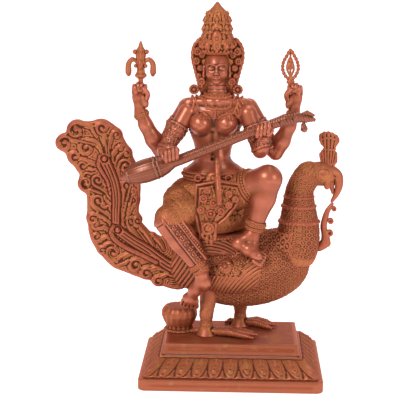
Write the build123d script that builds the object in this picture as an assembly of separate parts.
from build123d import *
from math import cos, radians, sin
import os

# Four-armed figure playing a lute, seated on a peacock, on a stepped lotus pedestal.
# The statue is assembled from castings that are pinned, tenoned and bolted together.
# Frame: millimetres, +Z up, the figure faces -Y, origin at the centre of the pedestal's underside.

# Pedestal
SLAB_LENGTH = 290.0
SLAB_DEPTH = 236.0
SLAB_HEIGHT = 18.5
BAND_INSET = 8.0
BAND_HEIGHT = 26.0
BLOCK_LENGTH = 220.0
BLOCK_DEPTH = 144.0
BLOCK_HEIGHT = 18.5
BLOCK_TAPER = 4.0
CASTING_WALL = 6.0

# Fixings through the pedestal's top
STUD_DIAMETER = 6.0
STUD_GRIP = 30.0
WASHER_DIAMETER = 16.0
WASHER_THICKNESS = 1.5
NUT_ACROSS_FLATS = 10.0
NUT_HEIGHT = 5.0
STUD_TAIL = 3.0

# Lotus footrest
FOOTREST_X = -86.0
FOOTREST_Y = 10.0
FOOTREST_HEIGHT = 42.0
FOOTREST_RADIUS = 29.0

# Peacock, measured from the pedestal's top
LEG_RADIUS = 10.0
NEAR_LEG = (-41.0, -16.0)
FAR_LEG = (14.0, 42.0)
LEG_SPREAD = 6.0
HIP_LEVEL = 70.0
NEAR_TOES = 84.0
FAR_TOES = 60.0
TOE_RADIUS = 4.5
BODY_CENTRE = (22.0, 12.0, 107.0)
BODY_RADII = (103.0, 44.0, 64.0)
BODY_PITCH = -5.0
RUMP_CENTRE = (-66.0, 14.0, 110.0)
RUMP_RADII = (34.0, 24.0, 40.0)
RUMP_PITCH = 14.0
WING_RADII = (74.0, 34.0, 34.0)
WING_PITCH = -12.0
NEAR_WING = (24.0, -14.0, 106.0)
FAR_WING = (24.0, 38.0, 106.0)
SEAT_HEIGHT = 169.0
SEAT_CENTRE = (-28.0, 4.0)
SEAT_RADII = (54.0, 34.0)
CUSHION_DEPTH = 34.0
SADDLE_CLOTH = 5.0
CLOTH_HEM = 107.0
CLOTH_TOP = 157.0
CLOTH_LEFT = -68.0
CLOTH_RIGHT = 44.0
DRAWN_SEAT_HEIGHT = 169.0

# Peacock's neck, head and tail: outlines as x, z and runs as x, z, radius
NECK_Y = 12.0
NECK_RUN = ((104, 150, 33), (108, 188, 27), (106, 214, 20), (108, 240, 18), (122, 264, 18))
COLLAR_X = 107.0
COLLARS = ((186, 30, 10), (211, 25, 9), (226, 22, 7))
BIRD_HEAD_CENTRE = (145.0, 263.0)
BIRD_HEAD_RADII = (26.0, 19.0, 21.0)
BEAK_RUN = ((165, 258, 9), (167, 240, 6.5), (158, 218, 2.5))
GARLAND_RUN = ((160, 213, 4), (150, 192, 5), (148, 168, 6), (150, 150, 9), (136, 140, 7))
CREST_OUTLINE = ((140, 268), (136, 300), (137, 327), (152, 330), (167, 320), (165, 296), (166, 270))
CREST_THICKNESS = 12.0
TAIL_Y = 20.0
TAIL_THICKNESS = 16.0
TAIL_OUTLINE = ((-100, 68), (-150, 84), (-196, 102), (-222, 128), (-236, 162), (-239, 206), (-244, 250),
                (-262, 284), (-285, 308), (-264, 328), (-226, 342), (-196, 338), (-174, 308), (-158, 276),
                (-148, 240), (-152, 200), (-148, 172), (-118, 154), (-80, 158), (-58, 140), (-58, 84))
TAIL_RIB_Y = 10.0
TAIL_RIB = ((-82, 106, 7), (-128, 128, 6), (-178, 160, 5), (-192, 205, 5), (-186, 245, 5), (-208, 284, 8),
            (-226, 304, 5))
RIVET_X = -72.0
RIVET_LEVELS = (88.0, 118.0)

# Joint between the seated figure and the saddle
TENON_SIDE = 14.0
TENON_LENGTH = 30.0
TENON_CLEARANCE = 0.4
REST_GAP = 0.3

# Figure, measured from the seat: sections as x, y, z, radii and runs as x, y, z, radius
TORSO_SECTIONS = ((-31, 0, 84, 50, 33), (-33, 0, 133, 27, 22), (-31, 0, 165, 40, 27), (-28, 1, 198, 47, 26),
                  (-26, 3, 222, 22, 16))
BREAST_CENTRE = (-32.0, -19.0, 180.0)
BREAST_SPREAD = 24.0
BREAST_RADIUS = 18.0
LAP_CENTRE = (-33.0, -6.0, 44.0)
LAP_RADII = (60.0, 40.0, 52.0)
GIRDLE_CENTRE = (-31.0, 0.0, 88.0)
GIRDLE_RADII = (56.0, 39.0)
GIRDLE_WIDTH = 14.0
PENDANT_THIGH = ((-60, -14, 48, 28), (-100, -48, 28, 21))
PENDANT_KNEE = (-104, -52, 22, 17)
PENDANT_ANKLE = (-50, -50)
PENDANT_ANKLE_RADIUS = 11.0
PENDANT_ANKLE_RISE = 76.0
PENDANT_ARCH = (-58, -39)
PENDANT_TOES = (-72, -20)
PENDANT_TOES_RADIUS = 8.0
RAISED_THIGH = ((-2, -8, 62, 29), (56, -42, 94, 23))
RAISED_KNEE = (57, -44, 98, 23)
RAISED_ANKLE = (35, -42, 16, 13)
RAISED_FOOT = ((33, -43, 4, 12), (18, -49, -6, 10.5), (25, -59, -20, 9), (34, -64, -31, 6.5))
ANKLET_SHARE = 0.92
ANKLET_WIDTH = 9.0
SASH_RUN = ((-25, -26, 134, 5), (-22, -42, 96, 6), (-20, -49, 58, 7))
SASH_TAIL = ((-46, 62), (-30, 66), (-14, 60), (-17, 30), (-28, 1), (-38, 26))
SASH_Y = -49.0
SASH_THICKNESS = 8.0
ARM_RUNS = (
    ("right_rear_upper_arm", ((-78, 6, 196, 15), (-114, 4, 132, 12))),
    ("right_rear_forearm", ((-120, 0, 130, 13), (-147, -8, 190, 10))),
    ("right_front_arm", ((-76, -9, 192, 14), (-109, -28, 134, 11), (-100, -56, 140, 8))),
    ("left_rear_upper_arm", ((28, 6, 194, 15), (64, 4, 130, 12))),
    ("left_rear_forearm", ((70, 0, 130, 13), (95, -8, 192, 10))),
    ("left_front_arm", ((26, -9, 190, 14), (42, -26, 134, 11), (46, -38, 154, 9))),
)
ARMLET_SHARE = 0.42
ARMLET_WIDTH = 10.0
BRACELET_SHARE = 0.98
BRACELET_WIDTH = 11.0
PALMS = (
    ("right_rear_hand", (-150, -12, 219), (17, 10, 27), 0),
    ("right_front_hand", (-92, -61, 126), (15, 9, 11), -20),
    ("left_rear_hand", (93, -12, 219), (14, 10, 26), 0),
    ("left_front_hand", (46, -47, 171), (18, 12, 11), -20),
)
EMBLEM_RUN = ((-149, -12, 244, 5), (-149, -12, 262, 9), (-149, -12, 282, 8), (-149, -12, 304, 2))
EMBLEM_PETALS = (-146, -12, 268)
EMBLEM_PETAL_RADII = (21.0, 6.0)
EMBLEM_PETAL_HEIGHT = 8.0
ROSARY_Y = -12.0
ROSARY_OUTER = ((88, 246), (101, 266), (98, 282), (87, 294), (75, 280), (73, 264))
ROSARY_INNER = ((88, 254), (95, 268), (93, 279), (87, 286), (81, 278), (80, 267))
ROSARY_THICKNESS = 7.0
ROSARY_STEM = ((90, -12, 228, 4), (88, -12, 246, 4), (87, -12, 288, 3))
NECK_STATIONS = ((-27, 2, 214, 16), (-28, 1, 246, 14))
NECKLACE_CENTRE = (-27, 0, 204)
NECKLACE_RADII = (34.0, 30.0)
NECKLACE_WIDTH = 12.0
NECKLACE_TILT = 12.0
ROSETTE_CENTRE = (-29.0, -6.0, 230.0)
ROSETTE_SPREAD = 37.0
ROSETTE_RADIUS = 9.0
HEAD_CENTRE = (-28.0, -2.0, 263.0)
HEAD_RADII = (20.0, 23.0, 27.0)
CROWN_AXIS = (-28.0, 4.0)
DIADEM_RADIUS = 22.0
DIADEM_HEIGHT = 16.0
TIERS_HEIGHT = 47.0
TIERS_PROFILE = ((24, 0), (25, 10), (22, 26), (16, 38), (6, TIERS_HEIGHT))
FINIAL_HEIGHT = 15.0
FINIAL_PROFILE = ((6, 0), (4, 6), (1.2, FINIAL_HEIGHT))
HAIR_RADII = (42.0, 20.0, 46.0)
EARRING_RADIUS = 5.5
LUTE_TAIL_END = (-96.0, -50.0, 118.0)
LUTE_HEAD_END = (60.0, -44.0, 180.0)
LUTE_NECK_RADIUS = 7.5
GOURD_OFFSET = (-38.0, 0.0, -10.0)
GOURD_RADII = (42.0, 20.0, 19.0)
GOURD_PITCH = -18.0
DOWEL_DIAMETER = 5.0
RING_PROUD = 2.5
ELLIPSOID_ANGLES = (-80, -60, -30, 0, 30, 60, 80)

BLOCK_BASE = SLAB_HEIGHT + BAND_HEIGHT
BLOCK_TOP = BLOCK_BASE + BLOCK_HEIGHT
FOOTREST_TOP = BLOCK_TOP + FOOTREST_HEIGHT
SEAT_TOP = BLOCK_TOP + SEAT_HEIGHT
BLOCK_UNDERSIDE = BLOCK_TOP - CASTING_WALL
STAND = Pos(0, 0, BLOCK_TOP)
# The bird above its feet is drawn for one seat height and rises or drops with the seat.
BIRD_RISE = SEAT_HEIGHT - DRAWN_SEAT_HEIGHT
BIRD = Pos(0, 0, BLOCK_TOP + BIRD_RISE)
SEAT = Pos(0, 0, SEAT_TOP + REST_GAP)
FIXINGS = (NEAR_LEG, FAR_LEG, (FOOTREST_X, FOOTREST_Y))

base_pieces = {}
figure_pieces = {}


# Shapes

def meets(a, b):
    """True when the boxes of two shapes overlap."""
    box_a = a.bounding_box()
    box_b = b.bounding_box()
    for axis in "XYZ":
        if getattr(box_a.min, axis) >= getattr(box_b.max, axis):
            return False
        if getattr(box_b.min, axis) >= getattr(box_a.max, axis):
            return False
    return True


def add(pieces, name, shape):
    """Cut a piece to fit the earlier pieces of its assembly and keep it under its name."""
    for earlier in pieces.values():
        if meets(shape, earlier):
            shape = shape - earlier
    pieces[name] = Compound(children=list(shape.solids()))


def add_whole(pieces, name, shape):
    """As add, for a piece that is one solid: chips left outside its neighbours are dropped."""
    for earlier in pieces.values():
        if meets(shape, earlier):
            shape = shape - earlier
    pieces[name] = max(shape.solids(), key=lambda solid: solid.volume)


def ellipsoid(centre, radii, pitch=0.0):
    """An ellipsoid with small flats at its two ends, pitched about the Y direction."""
    rings = []
    for angle in ELLIPSOID_ANGLES:
        share = cos(radians(angle))
        level = radii[2] * sin(radians(angle)) / sin(radians(ELLIPSOID_ANGLES[-1]))
        rings.append(Pos(0, 0, level) * Ellipse(radii[0] * share, radii[1] * share))
    return Pos(*centre) * Rot(0, pitch, 0) * loft(rings)


def limb(*stations):
    """A run of round sections, each station given as x, y, z, radius."""
    shape = None
    for x, y, z, radius in stations:
        ball = Pos(x, y, z) * Sphere(radius)
        shape = ball if shape is None else shape + ball
    for start, end in zip(stations, stations[1:]):
        axis = Vector(*end[:3]) - Vector(*start[:3])
        near = Plane(origin=start[:3], z_dir=axis) * Circle(start[3])
        far = Plane(origin=end[:3], z_dir=axis) * Circle(end[3])
        shape = shape + loft([near, far], ruled=True)
    return shape


def collar(start, end, along, radius, width):
    """A plain band round a limb, at a share of the way from start to end."""
    axis = Vector(*end) - Vector(*start)
    centre = Vector(*start) + axis * along
    return Plane(origin=centre, z_dir=axis) * Cylinder(radius, width)


def tapered_block(length, depth, height, taper, base):
    """A block whose four sides lean in by the taper, standing on the height given as base."""
    low = Plane.XY.offset(base) * Rectangle(length, depth)
    high = Plane.XY.offset(base + height) * Rectangle(length - 2 * taper, depth - 2 * taper)
    return loft([low, high], ruled=True)


def turned(points, x, y, base):
    """A solid turned about a vertical axis from radius and height pairs joined by a smooth curve."""
    outline = Polyline((0, points[0][1]), points[0]) + Spline(*points)
    outline = outline + Polyline(points[-1], (0, points[-1][1]), (0, points[0][1]))
    return Pos(x, y, base) * revolve(Plane.XZ * make_face(outline), Axis.Z)


def plate(points, y, thickness):
    """A flat piece standing in the XZ plane, with a smooth closed outline."""
    face = Plane.XZ.offset(-y) * make_face(Spline(*points, periodic=True))
    return extrude(face, thickness / 2, both=True)


def below(level, size=700.0):
    """The space under a level."""
    return Pos(0, 0, level - size / 2) * Box(size, size, size)


# Pedestal

def pedestal():
    studs = []
    nuts = []
    washers = []
    seat = BLOCK_UNDERSIDE - WASHER_THICKNESS
    low = seat - NUT_HEIGHT - STUD_TAIL
    high = BLOCK_TOP + STUD_GRIP
    for x, y in FIXINGS:
        studs.append(Pos(x, y, (low + high) / 2) * Cylinder(STUD_DIAMETER / 2, high - low))
        hexagon = Pos(x, y, seat - NUT_HEIGHT) * RegularPolygon(NUT_ACROSS_FLATS / 2, 6, major_radius=False)
        nuts.append(extrude(hexagon, NUT_HEIGHT))
        washer = Cylinder(WASHER_DIAMETER / 2, WASHER_THICKNESS)
        washers.append(Pos(x, y, seat + WASHER_THICKNESS / 2) * washer)
    add(base_pieces, "leg_studs", Compound(children=studs))
    add(base_pieces, "stud_nuts", Compound(children=nuts))
    add(base_pieces, "stud_washers", Compound(children=washers))

    wall = 2 * CASTING_WALL
    block = tapered_block(BLOCK_LENGTH, BLOCK_DEPTH, BLOCK_HEIGHT, BLOCK_TAPER, BLOCK_BASE)
    block_core = tapered_block(BLOCK_LENGTH - wall, BLOCK_DEPTH - wall, BLOCK_HEIGHT - CASTING_WALL,
                               BLOCK_TAPER, BLOCK_BASE)
    add_whole(base_pieces, "pedestal_top_block", block - block_core)

    band_length = SLAB_LENGTH - 2 * BAND_INSET
    band_depth = SLAB_DEPTH - 2 * BAND_INSET
    band = loft([Plane.XY.offset(SLAB_HEIGHT) * Rectangle(band_length, band_depth),
                 Plane.XY.offset(BLOCK_BASE) * Rectangle(BLOCK_LENGTH, BLOCK_DEPTH)], ruled=True)
    band_core = loft([Plane.XY.offset(SLAB_HEIGHT) * Rectangle(band_length - 2 * wall, band_depth - 2 * wall),
                      Plane.XY.offset(BLOCK_BASE) * Rectangle(BLOCK_LENGTH - wall, BLOCK_DEPTH - wall)],
                     ruled=True)
    add_whole(base_pieces, "pedestal_lotus_band", band - band_core)

    slab = Pos(0, 0, SLAB_HEIGHT / 2) * Box(SLAB_LENGTH, SLAB_DEPTH, SLAB_HEIGHT)
    slab = fillet(slab.edges().filter_by(Axis.Z), CASTING_WALL / 2)
    slab_core = Pos(0, 0, SLAB_HEIGHT / 2) * Box(band_length - 2 * wall, band_depth - 2 * wall, SLAB_HEIGHT)
    add_whole(base_pieces, "pedestal_slab", slab - slab_core)


def footrest():
    radius = FOOTREST_RADIUS
    height = FOOTREST_HEIGHT
    outline = [(0.86 * radius, 0), (0.72 * radius, 0.25 * height), (radius, 0.65 * height),
               (0.8 * radius, height)]
    add_whole(base_pieces, "lotus_footrest", turned(outline, FOOTREST_X, FOOTREST_Y, BLOCK_TOP))


# Peacock

def in_plane(run, y):
    """Stations of a run given as x, z, radius, placed at one depth."""
    return [(x, y, z, radius) for x, z, radius in run]


def claws(x, y, reach):
    """One foot: a domed pad with three toes spread to the right and one short toe behind."""
    foot = Pos(x, y, 0) * turned([(15, 0), (13, 5), (9, 12)], 0, 0, 0)
    knuckle = TOE_RADIUS + 2.0
    tip_level = TOE_RADIUS - 1.0
    for side in (-1, 0, 1):
        tip = (x + reach - 8 * abs(side), y - 10 + 17 * side, tip_level)
        foot = foot + limb((x, y, knuckle, TOE_RADIUS + 1.0), (*tip, TOE_RADIUS - 1.5))
    foot = foot + limb((x, y, knuckle, TOE_RADIUS), (x - 22, y + 6, tip_level, TOE_RADIUS - 1.5))
    return foot - below(0)


def tenon_socket():
    """The square hole down through the saddle and into the bird's back."""
    side = TENON_SIDE + 2 * TENON_CLEARANCE
    depth = TENON_LENGTH + 4 * REST_GAP + 2
    return Pos(SEAT_CENTRE[0], SEAT_CENTRE[1], DRAWN_SEAT_HEIGHT - TENON_LENGTH / 2) * Box(side, side, depth)


def peacock():
    """The bird, given in the heights of its drawing and then placed."""
    x, _, z = BODY_CENTRE
    body = ellipsoid(BODY_CENTRE, BODY_RADII, BODY_PITCH) + ellipsoid(RUMP_CENTRE, RUMP_RADII, RUMP_PITCH)
    dowel = Pos(x + 88, NECK_Y, z + 46) * Cylinder(DOWEL_DIAMETER / 2, 40)
    add(base_pieces, "neck_dowel", BIRD * dowel)
    rivets = [Pos(RIVET_X, TAIL_Y, level) * Rot(90, 0, 0) * Cylinder(DOWEL_DIAMETER / 2, TAIL_THICKNESS + 20)
              for level in RIVET_LEVELS]
    add(base_pieces, "tail_rivets", BIRD * Compound(children=rivets))

    socket = tenon_socket()
    add_whole(base_pieces, "peacock_body", BIRD * (body - socket))

    cushion = Pos(SEAT_CENTRE[0], SEAT_CENTRE[1], 0) * extrude(Ellipse(*SEAT_RADII), DRAWN_SEAT_HEIGHT)
    cushion = cushion - below(DRAWN_SEAT_HEIGHT - CUSHION_DEPTH) - socket
    add_whole(base_pieces, "saddle_cushion", BIRD * cushion)

    length = CLOTH_RIGHT - CLOTH_LEFT
    depth = 3 * BODY_RADII[1]
    height = CLOTH_TOP - CLOTH_HEM
    cloth_middle = Pos(CLOTH_LEFT + length / 2, BODY_CENTRE[1], CLOTH_HEM + height / 2)
    cloth_space = cloth_middle * Box(length, depth, height)
    cloth_radii = tuple(radius + SADDLE_CLOTH for radius in BODY_RADII)
    cloth = (ellipsoid(BODY_CENTRE, cloth_radii, BODY_PITCH) & cloth_space) - socket
    add_whole(base_pieces, "saddle_cloth", BIRD * cloth)

    add_whole(base_pieces, "near_wing", BIRD * ellipsoid(NEAR_WING, WING_RADII, WING_PITCH))
    add_whole(base_pieces, "far_wing", BIRD * ellipsoid(FAR_WING, WING_RADII, WING_PITCH))

    for name, (leg_x, leg_y), reach in (("near_leg", NEAR_LEG, NEAR_TOES), ("far_leg", FAR_LEG, FAR_TOES)):
        hip_y = leg_y + 0.35 * (NECK_Y - leg_y)
        hip = (leg_x + 4, hip_y, HIP_LEVEL + BIRD_RISE, LEG_RADIUS + LEG_SPREAD)
        leg = limb((leg_x, leg_y, 12, LEG_RADIUS - 1), (leg_x, leg_y, 34, LEG_RADIUS), hip)
        add_whole(base_pieces, name, STAND * (leg + claws(leg_x, leg_y, reach)))

    plume = plate(TAIL_OUTLINE, TAIL_Y, TAIL_THICKNESS) + limb(*in_plane(TAIL_RIB, TAIL_RIB_Y))
    add_whole(base_pieces, "tail_plume", BIRD * plume)

    add_whole(base_pieces, "peacock_neck", BIRD * limb(*in_plane(NECK_RUN, NECK_Y)))
    collars = [Pos(COLLAR_X, NECK_Y, level) * Cylinder(radius + RING_PROUD, width)
               for level, radius, width in COLLARS]
    add(base_pieces, "neck_collars", BIRD * Compound(children=collars))
    head_x, head_z = BIRD_HEAD_CENTRE
    head = ellipsoid((head_x, NECK_Y, head_z), BIRD_HEAD_RADII) + limb(*in_plane(BEAK_RUN, NECK_Y))
    add_whole(base_pieces, "peacock_head", BIRD * head)
    add_whole(base_pieces, "peacock_crest", BIRD * plate(CREST_OUTLINE, NECK_Y, CREST_THICKNESS))
    add_whole(base_pieces, "breast_garland", BIRD * limb(*in_plane(GARLAND_RUN, NECK_Y)))


# Seated figure

def seated_body():
    tenon = Pos(SEAT_CENTRE[0], SEAT_CENTRE[1], (24 - TENON_LENGTH) / 2) * Box(
        TENON_SIDE, TENON_SIDE, TENON_LENGTH + 24)
    add(figure_pieces, "seat_tenon", SEAT * tenon)
    crown_pin = Pos(CROWN_AXIS[0], CROWN_AXIS[1], HEAD_CENTRE[2] + 30) * Cylinder(DOWEL_DIAMETER / 2, 30)
    neck_pin = Pos(-27, 2, 224) * Cylinder(DOWEL_DIAMETER / 2, 44)
    add(figure_pieces, "head_pins", SEAT * Compound(children=[crown_pin, neck_pin]))

    torso = loft([Pos(x, y, z) * Ellipse(rx, ry) for x, y, z, rx, ry in TORSO_SECTIONS])
    x, y, z = BREAST_CENTRE
    for side in (-1, 1):
        torso = torso + Pos(x + BREAST_SPREAD * side, y, z) * Sphere(BREAST_RADIUS)
    add_whole(figure_pieces, "torso", SEAT * torso)
    add_whole(figure_pieces, "lap_skirt", SEAT * (ellipsoid(LAP_CENTRE, LAP_RADII) - below(0)))


def legs():
    footrest_top = FOOTREST_TOP - SEAT_TOP
    ankle = (*PENDANT_ANKLE, footrest_top + PENDANT_ANKLE_RISE)
    toes = (*PENDANT_TOES, footrest_top + PENDANT_TOES_RADIUS + 2 * REST_GAP)
    arch = (*PENDANT_ARCH, footrest_top + 0.55 * PENDANT_ANKLE_RISE)
    add_whole(figure_pieces, "pendant_thigh", SEAT * (limb(*PENDANT_THIGH) - below(0)))
    add_whole(figure_pieces, "pendant_shin", SEAT * limb(PENDANT_KNEE, (*ankle, PENDANT_ANKLE_RADIUS)))
    heel = (ankle[0], ankle[1] + 1, ankle[2] - 6)
    foot = limb((*heel, PENDANT_ANKLE_RADIUS - 1), (*arch, PENDANT_ANKLE_RADIUS), (*toes, PENDANT_TOES_RADIUS))
    add_whole(figure_pieces, "pendant_foot", SEAT * foot)
    ring = PENDANT_ANKLE_RADIUS + 2 * RING_PROUD
    anklets = [collar(PENDANT_KNEE[:3], ankle, ANKLET_SHARE, ring, ANKLET_WIDTH)]

    add_whole(figure_pieces, "raised_thigh", SEAT * limb(*RAISED_THIGH))
    add_whole(figure_pieces, "raised_shin", SEAT * limb(RAISED_KNEE, RAISED_ANKLE))
    add_whole(figure_pieces, "raised_foot", SEAT * limb(*RAISED_FOOT))
    ring = RAISED_ANKLE[3] + 2 * RING_PROUD
    anklets.append(collar(RAISED_KNEE[:3], RAISED_ANKLE[:3], ANKLET_SHARE, ring, ANKLET_WIDTH))
    add(figure_pieces, "anklets", SEAT * Compound(children=anklets))
    sash = limb(*SASH_RUN) + plate(SASH_TAIL, SASH_Y, SASH_THICKNESS)
    add_whole(figure_pieces, "front_sash", SEAT * sash)
    girdle = Pos(*GIRDLE_CENTRE) * extrude(Ellipse(*GIRDLE_RADII), GIRDLE_WIDTH)
    add_whole(figure_pieces, "girdle", SEAT * girdle)


def bands(kind, share, end, width):
    """Rings round one kind of limb, at a share of its length and proud of the radius at the end given."""
    rings = [collar(run[0][:3], run[1][:3], share, run[end][3] + RING_PROUD, width)
             for name, run in ARM_RUNS if name.endswith(kind)]
    return SEAT * Compound(children=rings)


def arms():
    """Upper arms, forearms and hands, listed by the figure's own right (-X) and left (+X)."""
    for name, stations in ARM_RUNS:
        add_whole(figure_pieces, name, SEAT * limb(*stations))
    add(figure_pieces, "armlets", bands("rear_upper_arm", ARMLET_SHARE, 0, ARMLET_WIDTH))
    add(figure_pieces, "bracelets", bands("rear_forearm", BRACELET_SHARE, 1, BRACELET_WIDTH))


def lute():
    """A long-necked lute with a gourd body, lying across the lap."""
    neck = limb((*LUTE_TAIL_END, LUTE_NECK_RADIUS), (*LUTE_HEAD_END, LUTE_NECK_RADIUS))
    add_whole(figure_pieces, "lute_neck", SEAT * neck)
    gourd_centre = Vector(*LUTE_TAIL_END) + Vector(*GOURD_OFFSET)
    add_whole(figure_pieces, "lute_gourd", SEAT * ellipsoid(tuple(gourd_centre), GOURD_RADII, GOURD_PITCH))
    x, y, z = LUTE_HEAD_END
    pegbox = limb((x, y, z, 9), (x + 36, y + 8, z + 6, 8), (x + 66, y + 14, z + 7, 3))
    knob = limb((x + 50, y + 11, z - 2, 4), (x + 50, y + 11, z - 9, 6))
    add_whole(figure_pieces, "lute_pegbox", SEAT * (pegbox + knob))


def hands():
    for name, centre, radii, pitch in PALMS:
        add_whole(figure_pieces, name, SEAT * ellipsoid(centre, radii, pitch))
    petals = Pos(*EMBLEM_PETALS) * extrude(Ellipse(*EMBLEM_PETAL_RADII), EMBLEM_PETAL_HEIGHT)
    add_whole(figure_pieces, "hand_emblem", SEAT * (limb(*EMBLEM_RUN) + petals))
    inside = plate(ROSARY_INNER, ROSARY_Y, 3 * ROSARY_THICKNESS)
    loop = plate(ROSARY_OUTER, ROSARY_Y, ROSARY_THICKNESS) - inside
    add_whole(figure_pieces, "rosary_loop", SEAT * (loop + limb(*ROSARY_STEM)))


def head_and_crown():
    x, y, z = HEAD_CENTRE
    add_whole(figure_pieces, "neck", SEAT * limb(*NECK_STATIONS))
    diadem_base = z + 0.9 * HEAD_RADII[2]
    add_whole(figure_pieces, "head", SEAT * ellipsoid(HEAD_CENTRE, HEAD_RADII))
    axis_x, axis_y = CROWN_AXIS
    diadem = Pos(axis_x, axis_y, diadem_base + DIADEM_HEIGHT / 2) * Cylinder(DIADEM_RADIUS, DIADEM_HEIGHT)
    add_whole(figure_pieces, "crown_diadem", SEAT * diadem)
    tiers_base = diadem_base + DIADEM_HEIGHT
    tiers = turned(TIERS_PROFILE, axis_x, axis_y, tiers_base)
    finial = turned(FINIAL_PROFILE, axis_x, axis_y, tiers_base + TIERS_HEIGHT)
    add_whole(figure_pieces, "crown_tiers", SEAT * (tiers + finial))
    earrings = [Pos(x + 23 * side, y, z - 23) * Sphere(EARRING_RADIUS) for side in (-1, 1)]
    add(figure_pieces, "earrings", SEAT * Compound(children=earrings))
    x, y, z = ROSETTE_CENTRE
    rosettes = [Pos(x + ROSETTE_SPREAD * side, y, z) * Rot(90, 0, 0) * Cylinder(ROSETTE_RADIUS, 8)
                for side in (-1, 1)]
    add(figure_pieces, "shoulder_rosettes", SEAT * Compound(children=rosettes))
    x, y, z = HEAD_CENTRE
    add_whole(figure_pieces, "hair", SEAT * ellipsoid((x + 1, y + 20, z + 2), HAIR_RADII))
    torc = Rot(NECKLACE_TILT, 0, 0) * extrude(Ellipse(*NECKLACE_RADII), NECKLACE_WIDTH)
    add_whole(figure_pieces, "necklace", SEAT * Pos(*NECKLACE_CENTRE) * torc)


def write_steps():
    os.makedirs("parts", exist_ok=True)
    for pieces in (base_pieces, figure_pieces):
        for name, shape in pieces.items():
            export_step(shape, f"parts/{name}.step")


pedestal()
footrest()
peacock()
seated_body()
lute()
legs()
arms()
hands()
head_and_crown()
write_steps()
